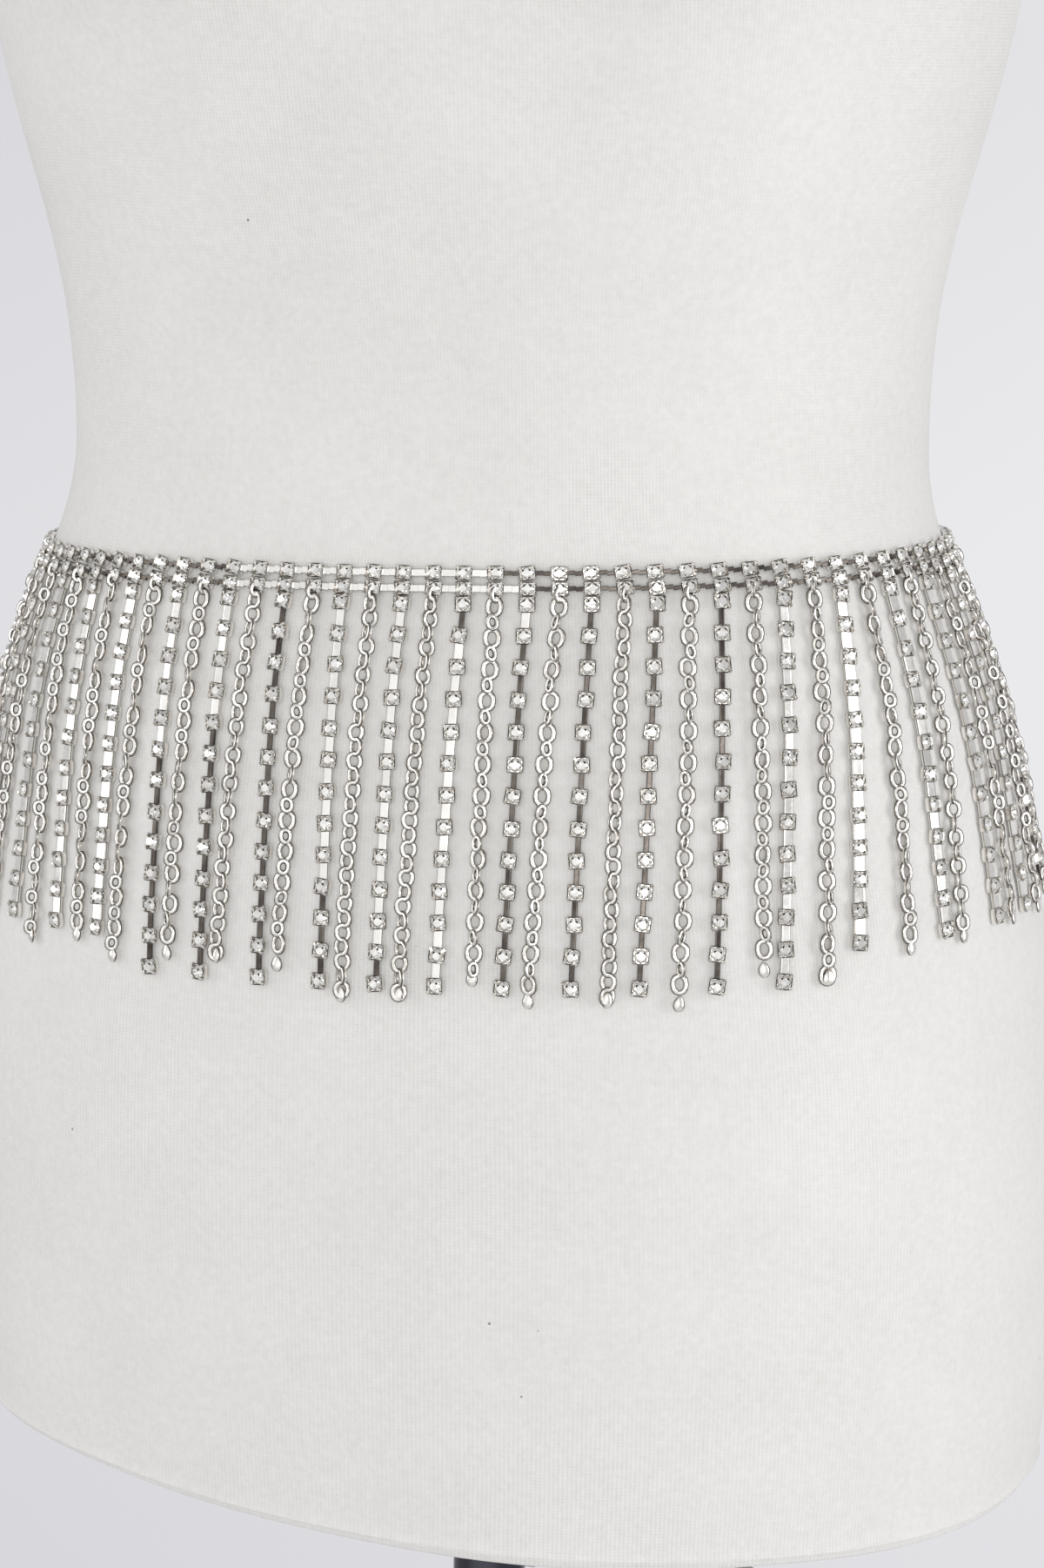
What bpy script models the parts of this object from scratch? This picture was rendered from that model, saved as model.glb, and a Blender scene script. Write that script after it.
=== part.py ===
import math
from collections import namedtuple

import bmesh
import bpy
from mathutils import Vector

# heights on the stand
WAIST_Z = 1.030
BASE_RADIUS = 0.200
BASE_EDGE = 0.007
BASE_BOSS_RADIUS = 0.030
BASE_HEIGHT = 0.034
SOCKET_DEPTH = 0.024
POLE_RADIUS = 0.0095
SEAM = 0.0003

# dress form
TORSO_SIDES = 36
ROUNDNESS = 2.2
BOARD_THICKNESS = 0.0030
BOARD_INSET = 0.0008
FLANGE_RADIUS = 0.045
FLANGE_THICKNESS = 0.005
NECK_CAP_HEIGHT = 0.016
BUST_X = 0.082
BUST_RISE = 0.174
BUST_DEPTH = 0.028
BUST_SPREAD_X = 0.044
BUST_SPREAD_DOWN = 0.034
BUST_SPREAD_UP = 0.058

# millimetres: rise over the waist, half width, front and back half depth, middle
Section = namedtuple("Section", "rise half_width front back middle")
SECTIONS = [Section(*row) for row in (
    (-288.0, 162.4, 116.8, 114.2, 12.0),
    (-262.0, 165.0, 118.5, 116.5, 11.5),
    (-232.0, 166.6, 119.5, 118.0, 10.5),
    (-202.0, 167.0, 119.5, 118.5, 9.0),
    (-172.0, 166.0, 118.5, 117.5, 7.0),
    (-146.0, 163.8, 116.5, 115.0, 5.0),
    (-122.0, 160.3, 113.5, 111.5, 3.0),
    (-102.0, 156.3, 110.0, 108.0, 1.5),
    (-84.0, 152.6, 106.5, 104.5, 0.0),
    (-66.0, 148.3, 102.5, 100.5, -1.5),
    (-50.0, 143.2, 98.5, 96.0, -2.5),
    (-36.0, 138.0, 94.3, 91.8, -3.2),
    (-24.0, 133.2, 90.5, 88.0, -4.0),
    (-12.0, 128.8, 87.5, 85.0, -5.0),
    (0.0, 126.3, 85.8, 83.2, -5.6),
    (14.0, 125.8, 85.6, 82.8, -6.2),
    (30.0, 126.4, 86.6, 83.4, -7.0),
    (48.0, 128.2, 88.8, 85.2, -8.0),
    (70.0, 132.6, 92.8, 88.6, -9.0),
    (92.0, 138.6, 97.6, 92.6, -9.6),
    (114.0, 144.4, 102.0, 96.5, -9.6),
    (138.0, 149.2, 105.8, 100.2, -8.8),
    (162.0, 152.6, 107.6, 103.2, -7.6),
    (190.0, 155.4, 107.8, 105.2, -6.0),
    (222.0, 158.4, 105.4, 104.8, -4.2),
    (254.0, 162.8, 99.4, 101.6, -2.4),
    (284.0, 167.8, 91.0, 97.0, -0.6),
    (312.0, 170.8, 81.4, 90.6, 0.8),
    (334.0, 168.0, 72.4, 83.4, 2.0),
    (352.0, 156.0, 64.6, 75.4, 2.8),
    (367.0, 133.0, 59.0, 68.0, 3.4),
    (380.0, 103.0, 55.6, 61.2, 4.0),
    (391.0, 78.0, 53.6, 56.8, 4.2),
    (404.0, 64.0, 52.2, 53.6, 4.4),
    (420.0, 59.0, 51.4, 51.4, 4.5),
    (436.0, 57.4, 51.0, 50.4, 4.5),
)]

# socket and clamp screw under the form
TUBE_RADIUS = 0.0109
TUBE_LENGTH = 0.062
SCREW_RADIUS = 0.0024
SCREW_LENGTH = 0.0695
SCREW_RISE = -0.3286
KNOB_RADIUS = 0.0046

# belt
BELT_RISE = -0.02345
BELT_TILT = math.radians(1.97)
RAIL_SPACING = 0.0042
RAIL_HEIGHT = 0.0036
RAIL_BAR_HEIGHT = 0.0020
RAIL_THICKNESS = 0.0026
BELT_CLEARANCE = 0.0005
CLOSURE_SHIFT = -0.00365
STRANDS = 80
STRAND_PITCH = 0.0087
CUP_WIDTH = 0.0042
CUP_THICKNESS = 0.0034
BAR_WIDTH = 0.0018
BAR_THICKNESS = 0.0012
FIRST_CUP = 0.0043
CUP_SPACING = 0.00863
CUPS = 13
CUP_END = 0.0019
LINK_LENGTH = 0.1128
LINK_RINGS = 5
LINK_WIDTH = 0.0042
LINK_NECK_WIDTH = 0.0034
LINK_THICKNESS = 0.0024
FRINGE_NODES = ("fringe_left_back", "fringe_left_front", "fringe_right_front", "fringe_right_back")
MARCH_STEP = 0.0022
BELT_SAMPLES = 1440
LOOSE_DRIFT = 0.0016
FLANK_TRIM = 0.0086

# strands that the view shows: sideways drift of the tip, and how much shorter the strand is
Strand = namedtuple("Strand", "index drift trim")
SHOWN_STRANDS = {row[0]: Strand(*row) for row in (
    (27, 3.0, 8.6), (28, 3.5, 5.5), (29, 4.0, 8.6), (30, 4.0, 8.7), (31, 1.8, 8.6), (32, -0.9, 4.5),
    (33, 2.6, 0.0), (34, -0.6, 7.0), (35, 0.8, 0.0), (36, -3.1, 7.6), (37, 0.8, 0.0), (38, -2.6, 6.6),
    (39, 1.0, 0.0), (40, -1.8, -0.7), (41, -0.9, 0.0), (42, -3.4, 0.0), (43, -2.3, 0.0), (44, -1.3, 5.2),
    (45, -2.3, 0.0), (46, -4.5, -0.8), (47, -2.6, 0.0), (48, -2.3, -0.3), (49, -3.5, 0.0), (50, -2.5, -1.7),
    (51, -2.3, 0.0), (52, 0.3, 6.6), (53, -4.1, 0.0), (54, -2.4, 3.0), (55, -3.3, 8.6), (56, 1.1, 8.4),
    (57, 3.0, 8.6), (58, -2.0, 8.8), (59, 3.0, 8.6), (60, -0.4, 9.5), (61, -1.0, 8.6),
)}

# closure, plain
END_BAR_WIDTH = 0.0022
END_BAR_HEIGHT = 0.0082
END_BAR_THICKNESS = 0.0024
CLASP_LENGTH = 0.0135
CLASP_HEIGHT = 0.0050
CLASP_WAIST = 1.25
LINK_ROW_HEIGHT = 0.0034
EXTENDER_LENGTH = 0.046
EXTENDER_RINGS = 9


def clear_scene():
    for item in list(bpy.data.objects):
        bpy.data.objects.remove(item, do_unlink=True)


def new_collection(name):
    collection = bpy.data.collections.new(name)
    bpy.context.scene.collection.children.link(collection)
    return collection


def new_material(name, color, metallic, roughness):
    made = bpy.data.materials.new(name)
    made.use_nodes = True
    shader = made.node_tree.nodes["Principled BSDF"]
    shader.inputs["Base Color"].default_value = (*color, 1.0)
    shader.inputs["Metallic"].default_value = metallic
    shader.inputs["Roughness"].default_value = roughness
    return made


def add_object(name, mesh_build, made, collection):
    bmesh.ops.recalc_face_normals(mesh_build, faces=mesh_build.faces)
    mesh = bpy.data.meshes.new(name)
    mesh_build.to_mesh(mesh)
    mesh_build.free()
    mesh.materials.append(made)
    placed = bpy.data.objects.new(name, mesh)
    collection.objects.link(placed)
    return placed


def turned(name, profile, steps, made, collection, ring=False):
    mesh = bpy.data.meshes.new(name)
    links = [(index, index + 1) for index in range(len(profile) - 1)]
    if ring:
        links.append((len(profile) - 1, 0))
    mesh.from_pydata([(radius, 0.0, height) for radius, height in profile], links, [])
    mesh.materials.append(made)
    placed = bpy.data.objects.new(name, mesh)
    collection.objects.link(placed)
    screw = placed.modifiers.new("Turn", "SCREW")
    screw.axis = "Z"
    screw.angle = 2 * math.pi
    screw.steps = steps
    screw.render_steps = steps
    screw.use_merge_vertices = True
    screw.merge_threshold = 0.00001
    return placed


def section_at(rise):
    rows = SECTIONS
    wanted = rise * 1000.0
    wanted = min(max(wanted, rows[0].rise), rows[-1].rise)
    for low, high in zip(rows, rows[1:]):
        if wanted <= high.rise:
            share = (wanted - low.rise) / (high.rise - low.rise)
            return [(a + (b - a) * share) / 1000.0 for a, b in zip(low[1:], high[1:])]
    return [value / 1000.0 for value in rows[-1][1:]]


def bust_swell(x, rise):
    spread = BUST_SPREAD_UP if rise > BUST_RISE else BUST_SPREAD_DOWN
    tall = math.exp(-(((rise - BUST_RISE) / spread) ** 2))
    wide = sum(math.exp(-(((x - side * BUST_X) / BUST_SPREAD_X) ** 2)) for side in (-1, 1))
    return BUST_DEPTH * tall * wide


def torso_point(turn, rise, inset=0.0):
    half_width, front, back, middle = section_at(rise)
    across, along = math.cos(turn), math.sin(turn)
    depth = front if along < 0 else back
    fit = (abs(across) ** ROUNDNESS + abs(along) ** ROUNDNESS) ** (-1 / ROUNDNESS)
    x = (half_width - inset) * across * fit
    y = middle + (depth - inset) * along * fit
    if along < 0:
        y -= bust_swell(x, rise) * min(1.0, -along * 2.0)
    return Vector((x, y, WAIST_Z + rise))


def torso_axes(turn, rise):
    small = 0.004
    around = (torso_point(turn + small, rise) - torso_point(turn - small, rise)) / (2 * small)
    upward = (torso_point(turn, rise + small) - torso_point(turn, rise - small)) / (2 * small)
    outward = around.cross(upward).normalized()
    return around, upward, outward


def step_down(turn, rise, lean, step):
    around, upward, outward = torso_axes(turn, rise)
    down = (outward * outward.z - Vector((0, 0, 1))).normalized()
    side = around.normalized()
    side = (side - down * side.dot(down)).normalized()
    heading = down * math.cos(lean) + side * math.sin(lean)
    aa, bb, ab = around.dot(around), upward.dot(upward), around.dot(upward)
    ra, rb = heading.dot(around), heading.dot(upward)
    size = aa * bb - ab * ab
    return turn + step * (ra * bb - rb * ab) / size, rise + step * (rb * aa - ra * ab) / size


def belt_rise(turn, offset):
    rise = BELT_RISE + offset
    for _ in range(4):
        rise = BELT_RISE + offset + math.tan(BELT_TILT) * torso_point(turn, rise).x
    return rise


class BeltCurve:
    def __init__(self):
        start = math.pi / 2
        self.turns = [start + 2 * math.pi * i / BELT_SAMPLES for i in range(BELT_SAMPLES + 1)]
        points = []
        for turn in self.turns:
            rise = belt_rise(turn, 0.0)
            outward = torso_axes(turn, rise)[2]
            points.append(torso_point(turn, rise) + outward * (BELT_CLEARANCE + RAIL_THICKNESS / 2))
        self.lengths = [0.0]
        for before, after in zip(points, points[1:]):
            self.lengths.append(self.lengths[-1] + (after - before).length)
        self.total = self.lengths[-1]

    def turn_at(self, length):
        wanted = length % self.total
        low, high = 0, len(self.lengths) - 1
        while high - low > 1:
            middle = (low + high) // 2
            if self.lengths[middle] <= wanted:
                low = middle
            else:
                high = middle
        share = (wanted - self.lengths[low]) / (self.lengths[high] - self.lengths[low])
        return self.turns[low] + share * (self.turns[high] - self.turns[low])


def rail_corners(belt, length, offset, height, thickness):
    turn = belt.turn_at(length)
    rise = belt_rise(turn, offset)
    around, upward, outward = torso_axes(turn, rise)
    up = (upward - outward * upward.dot(outward)).normalized()
    middle = torso_point(turn, rise) + outward * BELT_CLEARANCE
    top, low = up * (height / 2), up * (-height / 2)
    out = outward * thickness
    return [middle + low, middle + low + out, middle + top + out, middle + top]


def strand_corners(turn, rise, lean, width, thickness):
    around, _, outward = torso_axes(turn, rise)
    side = around.normalized()
    down = (outward * outward.z - Vector((0, 0, 1))).normalized()
    side = (side * math.cos(lean) - down * math.sin(lean)).normalized()
    middle = torso_point(turn, rise) + outward * BELT_CLEARANCE
    half = side * (width / 2)
    out = outward * thickness
    return [middle - half, middle + half, middle + half + out, middle - half + out]


def strand_place(index):
    if index in SHOWN_STRANDS:
        shown = SHOWN_STRANDS[index]
        return shown.drift / 1000.0, shown.trim / 1000.0
    wobble = math.sin(index * 2.399) * 0.6 + math.sin(index * 0.911 + 1.0) * 0.4
    return LOOSE_DRIFT * wobble, FLANK_TRIM


def strand_rings(index):
    rings = []
    trim = strand_place(index)[1]
    if is_cup_strand(index):
        cups = CUPS - round(trim / CUP_SPACING)
        for cup in range(cups):
            middle = FIRST_CUP + CUP_SPACING * cup
            rings.append((middle, CUP_WIDTH, CUP_THICKNESS))
            if cup < cups - 1:
                rings.append((middle + CUP_SPACING / 2, BAR_WIDTH, BAR_THICKNESS))
            else:
                rings.append((middle + CUP_END, CUP_WIDTH * 0.8, CUP_THICKNESS * 0.6))
        return rings
    start = RAIL_HEIGHT / 2
    for ring in range(LINK_RINGS):
        reach = start + (LINK_LENGTH - trim - start) * (ring + 1) / LINK_RINGS
        width = LINK_WIDTH if ring % 2 == 0 else LINK_NECK_WIDTH
        rings.append((reach, width, LINK_THICKNESS))
    return rings


def ring_faces(build, before, after):
    count = len(before)
    for index in range(count):
        following = (index + 1) % count
        build.faces.new((before[index], before[following], after[following], after[index]))


def strand_lean(index):
    drift, trim = strand_place(index)
    return math.asin(drift / (LINK_LENGTH - trim))


def add_strand(build, root, turn, rise, index):
    lean = strand_lean(index)
    travelled = RAIL_HEIGHT / 2
    before = root
    for reach, width, thickness in strand_rings(index):
        while travelled < reach - 1e-9:
            step = min(MARCH_STEP, reach - travelled)
            turn, rise = step_down(turn, rise, lean, step)
            travelled += step
        after = [build.verts.new(corner) for corner in strand_corners(turn, rise, lean, width, thickness)]
        ring_faces(build, before, after)
        before = after
    build.faces.new(before)


def strand_length_at(belt, index):
    closure = belt.total - STRAND_PITCH * STRANDS
    return closure / 2 + CLOSURE_SHIFT + STRAND_PITCH * (index + 0.5)


def is_cup_strand(index):
    return index % 2 == 1


def add_fringe(name, belt, first, last, made, collection):
    build = bmesh.new()
    pitch = STRAND_PITCH
    cup = CUP_WIDTH * 0.8
    spans = []
    for index in range(first, last + 1):
        middle = strand_length_at(belt, index)
        spans.append((middle - cup / 2, None))
        spans.append((middle + cup / 2, index))
    spans.insert(0, (strand_length_at(belt, first) - pitch / 2 + SEAM / 2, None))
    spans.append((strand_length_at(belt, last) + pitch / 2 - SEAM / 2, None))
    before = None
    for length, index in spans:
        corners = rail_corners(belt, length, -RAIL_SPACING / 2, RAIL_HEIGHT, RAIL_THICKNESS)
        after = [build.verts.new(corner) for corner in corners]
        if before is None:
            build.faces.new(after)
        else:
            for low in range(1, 4):
                high = (low + 1) % 4
                build.faces.new((before[low], before[high], after[high], after[low]))
            if index is None:
                build.faces.new((before[0], before[1], after[1], after[0]))
            else:
                turn = belt.turn_at(strand_length_at(belt, index))
                rise = belt_rise(turn, -RAIL_SPACING / 2)
                turn, rise = step_down(turn, rise, 0.0, RAIL_HEIGHT / 2)
                add_strand(build, [before[0], after[0], after[1], before[1]], turn, rise, index)
        before = after
    build.faces.new(before)
    return add_object(name, build, made, collection)


def add_strip(name, belt, rows, offset, thickness, made, collection):
    build = bmesh.new()
    before = None
    for length, height in rows:
        corners = rail_corners(belt, length, offset, height, thickness)
        after = [build.verts.new(corner) for corner in corners]
        if before is None:
            build.faces.new(after)
        else:
            ring_faces(build, before, after)
        before = after
    build.faces.new(before)
    return add_object(name, build, made, collection)


def add_upper_rail(belt, made, collection):
    rows = [(strand_length_at(belt, 0) - STRAND_PITCH / 2, RAIL_BAR_HEIGHT)]
    for index in range(STRANDS):
        middle = strand_length_at(belt, index)
        rows.append((middle, RAIL_HEIGHT))
        rows.append((middle + STRAND_PITCH / 2, RAIL_BAR_HEIGHT))
    add_strip("rail_upper", belt, rows, RAIL_SPACING / 2, RAIL_THICKNESS, made, collection)


def add_closure(belt, metal, collection):
    rail_end = strand_length_at(belt, STRANDS - 1) + STRAND_PITCH / 2 - belt.total
    rail_start = strand_length_at(belt, 0) - STRAND_PITCH / 2
    left_bar = rail_end + SEAM
    links = left_bar + END_BAR_WIDTH + SEAM
    right_bar = rail_start - SEAM - END_BAR_WIDTH
    clasp = right_bar - SEAM - CLASP_LENGTH
    links_end = clasp - SEAM
    for name, start in (("end_bar_left", left_bar), ("end_bar_right", right_bar)):
        rows = [(start, END_BAR_HEIGHT), (start + END_BAR_WIDTH, END_BAR_HEIGHT)]
        add_strip(name, belt, rows, 0.0, END_BAR_THICKNESS, metal, collection)
    rows = [(clasp, CLASP_HEIGHT * 0.8), (clasp + CLASP_LENGTH / 2, CLASP_HEIGHT * CLASP_WAIST),
            (clasp + CLASP_LENGTH, CLASP_HEIGHT * 0.8)]
    add_strip("clasp", belt, rows, 0.0, END_BAR_THICKNESS, metal, collection)
    rows = [(links, LINK_ROW_HEIGHT), ((links + links_end) / 2, LINK_ROW_HEIGHT * 0.8), (links_end, LINK_ROW_HEIGHT)]
    add_strip("extender_links", belt, rows, 0.0, LINK_THICKNESS, metal, collection)

    turn = belt.turn_at(links_end - LINK_WIDTH / 2)
    rise = belt_rise(turn, -LINK_ROW_HEIGHT / 2 - SEAM)
    build = bmesh.new()
    before = None
    for index in range(EXTENDER_RINGS):
        width = LINK_WIDTH * (0.78 if index % 2 else 1.0)
        if before is not None:
            turn, rise = step_down(turn, rise, 0.0, EXTENDER_LENGTH / (EXTENDER_RINGS - 1))
        corners = strand_corners(turn, rise, 0.0, width, LINK_THICKNESS)
        after = [build.verts.new(corner) for corner in corners]
        if before is None:
            build.faces.new(after)
        else:
            ring_faces(build, before, after)
        before = after
    build.faces.new(before)
    add_object("extender_tail", build, metal, collection)


def add_torso(made, collection):
    build = bmesh.new()
    before = None
    for row in SECTIONS:
        rise = row.rise / 1000.0
        after = []
        for side in range(TORSO_SIDES):
            turn = 2 * math.pi * side / TORSO_SIDES
            after.append(build.verts.new(torso_point(turn, rise)))
        if before is None:
            build.faces.new(after)
        else:
            ring_faces(build, before, after)
        before = after
    build.faces.new(before)
    return add_object("torso", build, made, collection)


def add_bottom_board(made, collection):
    build = bmesh.new()
    rise = SECTIONS[0].rise / 1000.0
    rim = []
    for side in range(TORSO_SIDES):
        point = torso_point(2 * math.pi * side / TORSO_SIDES, rise, BOARD_INSET)
        point.z -= SEAM
        rim.append(build.verts.new(point))
    face = build.faces.new(rim)
    moved = bmesh.ops.extrude_face_region(build, geom=[face])["geom"]
    bmesh.ops.translate(
        build,
        vec=(0, 0, -BOARD_THICKNESS),
        verts=[item for item in moved if isinstance(item, bmesh.types.BMVert)],
    )
    return add_object("bottom_board", build, made, collection)


def add_stand(metal, collection):
    board_low = WAIST_Z + SECTIONS[0].rise / 1000.0 - SEAM - BOARD_THICKNESS
    flange_top = board_low - SEAM
    flange_low = flange_top - FLANGE_THICKNESS
    turned(
        "flange",
        [(0, flange_top), (FLANGE_RADIUS, flange_top), (FLANGE_RADIUS, flange_low + 0.001),
         (FLANGE_RADIUS - 0.001, flange_low), (0, flange_low)],
        24, metal, collection,
    )
    bore = POLE_RADIUS + SEAM
    tube_top = flange_low - SEAM
    turned(
        "socket_tube",
        [(bore, tube_top), (TUBE_RADIUS, tube_top), (TUBE_RADIUS, tube_top - TUBE_LENGTH),
         (bore, tube_top - TUBE_LENGTH)],
        24, metal, collection, ring=True,
    )
    socket_low = BASE_HEIGHT - SOCKET_DEPTH
    turned(
        "pole",
        [(0, tube_top), (POLE_RADIUS, tube_top), (POLE_RADIUS, socket_low + SEAM), (0, socket_low + SEAM)],
        24, metal, collection,
    )
    turned(
        "base",
        [(0, socket_low), (bore, socket_low), (bore, BASE_HEIGHT),
         (BASE_BOSS_RADIUS - 0.006, BASE_HEIGHT), (BASE_BOSS_RADIUS, BASE_HEIGHT - 0.006),
         (BASE_BOSS_RADIUS + 0.002, BASE_EDGE + 0.008), (BASE_BOSS_RADIUS + 0.020, BASE_EDGE + 0.004),
         (BASE_RADIUS - 0.004, BASE_EDGE), (BASE_RADIUS, BASE_EDGE - 0.003), (BASE_RADIUS, 0), (0, 0)],
        40, metal, collection,
    )
    profile = [(0, 0), (SCREW_RADIUS, 0), (SCREW_RADIUS, SCREW_LENGTH - KNOB_RADIUS * 0.9)]
    for index in range(1, 6):
        angle = math.pi * (index - 2.2) / 6
        profile.append((KNOB_RADIUS * math.cos(angle), SCREW_LENGTH + KNOB_RADIUS * math.sin(angle)))
    profile.append((0, SCREW_LENGTH + KNOB_RADIUS))
    screw = turned("clamp_screw", profile[::-1], 12, metal, collection)
    screw.rotation_euler = (0, math.pi / 2, 0)
    screw.location = (TUBE_RADIUS + SEAM, 0, WAIST_Z + SCREW_RISE)


def add_neck_cap(made, collection):
    rise = SECTIONS[-1].rise / 1000.0
    build = bmesh.new()
    before = None
    rows = ((SEAM, 0.0), (NECK_CAP_HEIGHT * 0.45, 0.0004), (NECK_CAP_HEIGHT * 0.8, 0.005),
            (NECK_CAP_HEIGHT, 0.018))
    for lift, inset in rows:
        after = []
        for side in range(TORSO_SIDES):
            point = torso_point(2 * math.pi * side / TORSO_SIDES, rise, inset)
            point.z += lift
            after.append(build.verts.new(point))
        if before is None:
            build.faces.new(after)
        else:
            ring_faces(build, before, after)
        before = after
    build.faces.new(before)
    return add_object("neck_cap", build, made, collection)


def main():
    clear_scene()
    parts = new_collection("rhinestone_fringe_belt_on_dress_form")
    jersey = new_material("jersey", (0.78, 0.77, 0.74), 0.0, 0.9)
    silver = new_material("silver_chain", (0.80, 0.80, 0.80), 1.0, 0.22)
    clasp_metal = new_material("clasp_metal", (0.76, 0.76, 0.77), 1.0, 0.25)
    chrome = new_material("dark_chrome", (0.30, 0.30, 0.32), 1.0, 0.18)
    cap_paint = new_material("cap_paint", (0.76, 0.75, 0.72), 0.0, 0.5)

    add_torso(jersey, parts)
    add_bottom_board(jersey, parts)
    add_neck_cap(cap_paint, parts)
    add_stand(chrome, parts)

    belt = BeltCurve()
    quarter = STRANDS // len(FRINGE_NODES)
    for number, name in enumerate(FRINGE_NODES):
        add_fringe(name, belt, number * quarter, (number + 1) * quarter - 1, silver, parts)
    add_upper_rail(belt, silver, parts)
    add_closure(belt, clasp_metal, parts)
    print("belt length mm", round(belt.total * 1000, 1), "closure mm", round((belt.total - STRAND_PITCH * STRANDS) * 1000, 1))


main()
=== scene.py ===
import math
import random

import bmesh
import bpy
import numpy as np
from mathutils import Euler, Matrix, Vector


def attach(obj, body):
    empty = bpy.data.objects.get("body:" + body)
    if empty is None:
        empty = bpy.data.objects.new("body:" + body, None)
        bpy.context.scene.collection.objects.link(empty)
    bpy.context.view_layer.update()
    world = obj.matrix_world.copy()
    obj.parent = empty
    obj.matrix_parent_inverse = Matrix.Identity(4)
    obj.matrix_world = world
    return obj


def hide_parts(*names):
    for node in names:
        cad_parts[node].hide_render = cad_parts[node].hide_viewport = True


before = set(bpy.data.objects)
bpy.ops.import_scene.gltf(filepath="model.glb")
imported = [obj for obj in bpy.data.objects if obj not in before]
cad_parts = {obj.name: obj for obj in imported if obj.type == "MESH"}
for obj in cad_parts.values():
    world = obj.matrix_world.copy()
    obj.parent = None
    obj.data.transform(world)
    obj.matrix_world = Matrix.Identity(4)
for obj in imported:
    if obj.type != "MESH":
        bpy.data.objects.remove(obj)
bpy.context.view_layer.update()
mm = 0.001
print("frame loaded,", len(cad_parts), "nodes")


camera = {
    "place": (0.4321, -1.2121, 1.1517),
    "azimuth": 19.33,  # degrees that the view turns from straight on
    "down": 9.52,
    "roll": 0.82,
    "lens": 101.69,  # on 36 mm of picture height
}


def addCamera():
    azimuth, down, roll = (math.radians(camera[key]) for key in ("azimuth", "down", "roll"))
    ahead = Vector((-math.sin(azimuth) * math.cos(down), math.cos(azimuth) * math.cos(down), -math.sin(down)))
    across = Vector((math.cos(azimuth), math.sin(azimuth), 0.0))
    above = across.cross(ahead)
    side = across * math.cos(roll) + above * math.sin(roll)
    top = above * math.cos(roll) - across * math.sin(roll)
    data = bpy.data.cameras.new("photoCamera")
    data.sensor_fit = "AUTO"
    data.sensor_width = 36.0
    data.lens = camera["lens"]
    data.clip_start = 0.05
    placed = bpy.data.objects.new("photoCamera", data)
    bpy.context.scene.collection.objects.link(placed)
    placed.matrix_world = Matrix.Translation(camera["place"]) @ Matrix(
        (side, top, -ahead)).transposed().to_4x4()
    bpy.context.scene.camera = placed


addCamera()
print("camera set")


class Wire:  # a socket that can be used in sums
    def __init__(self, tree, socket):
        self.tree = tree
        self.socket = socket

    def sums(self, operation, left, right):
        node = self.tree.nodes.new("ShaderNodeMath")
        node.operation = operation
        for number, value in enumerate((left, right)):
            if isinstance(value, Wire):
                self.tree.links.new(value.socket, node.inputs[number])
            else:
                node.inputs[number].default_value = value
        return Wire(self.tree, node.outputs[0])

    def __add__(self, other):
        return self.sums("ADD", self, other)

    __radd__ = __add__

    def __mul__(self, other):
        return self.sums("MULTIPLY", self, other)

    __rmul__ = __mul__


class Nodes:  # one node tree and the shader that it feeds
    def __init__(self, owner, shader):
        owner.use_nodes = True
        self.tree = owner.node_tree
        self.shader = self.tree.nodes[shader]

    def node(self, kind, settings=None, sockets=None, output=0):
        made = self.tree.nodes.new("ShaderNode" + kind)
        for key, value in (settings or {}).items():
            if key == "stops":
                ramp = made.color_ramp.elements
                while len(ramp) < len(value):
                    ramp.new(0.5)
                for stop, (place, color) in zip(ramp, value):
                    stop.position = place
                    stop.color = (*color, 1.0)
            else:
                setattr(made, key, value)
        for key, value in (sockets or {}).items():
            self.join(value, made.inputs[key])
        return Wire(self.tree, made.outputs[output])

    def join(self, value, socket):
        if isinstance(value, Wire):
            self.tree.links.new(value.socket, socket)
        else:
            socket.default_value = value

    def feed(self, **wires):
        for key, wire in wires.items():
            self.join(wire, self.shader.inputs[key.replace("_", " ")])

    def place(self):
        return self.node("TexCoord", output=3)

    def noise(self, where, scale, detail=2.0, rough=0.5):
        return self.node("TexNoise", {"noise_dimensions": "3D"},
                         {"Vector": where, "Scale": scale, "Detail": detail, "Roughness": rough})

    def spread(self, value, fromLow, fromHigh, low=0.0, high=1.0):
        return self.node("MapRange", {"clamp": True}, {
            "Value": value, "From Min": fromLow, "From Max": fromHigh, "To Min": low, "To Max": high})

    def blend(self, share, first, second):
        return self.node("Mix", {"data_type": "RGBA"}, {
            "Factor": share, 6: (*first, 1.0) if isinstance(first, tuple) else first,
            7: (*second, 1.0) if isinstance(second, tuple) else second}, output=2)

    def wave(self, angle):
        return self.node("Math", {"operation": "SINE"}, {0: angle})

    def bump(self, height, strength, distance):
        return self.node("Bump", sockets={"Height": height, "Strength": strength, "Distance": distance})


class Finish(Nodes):
    def __init__(self, name, **fixed):
        self.material = bpy.data.materials.new(name)
        super().__init__(self.material, "Principled BSDF")
        self.feed(**fixed)


jersey = {
    "thread": (0.840, 0.832, 0.816),
    "hollow": (0.705, 0.694, 0.677),
    "speck": (0.16, 0.14, 0.12),
    "speckCells": 60.0,  # to the metre
    "wales": 820,  # ribs round the form
    "course": 0.00095,  # metres between rows of loops
}


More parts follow.
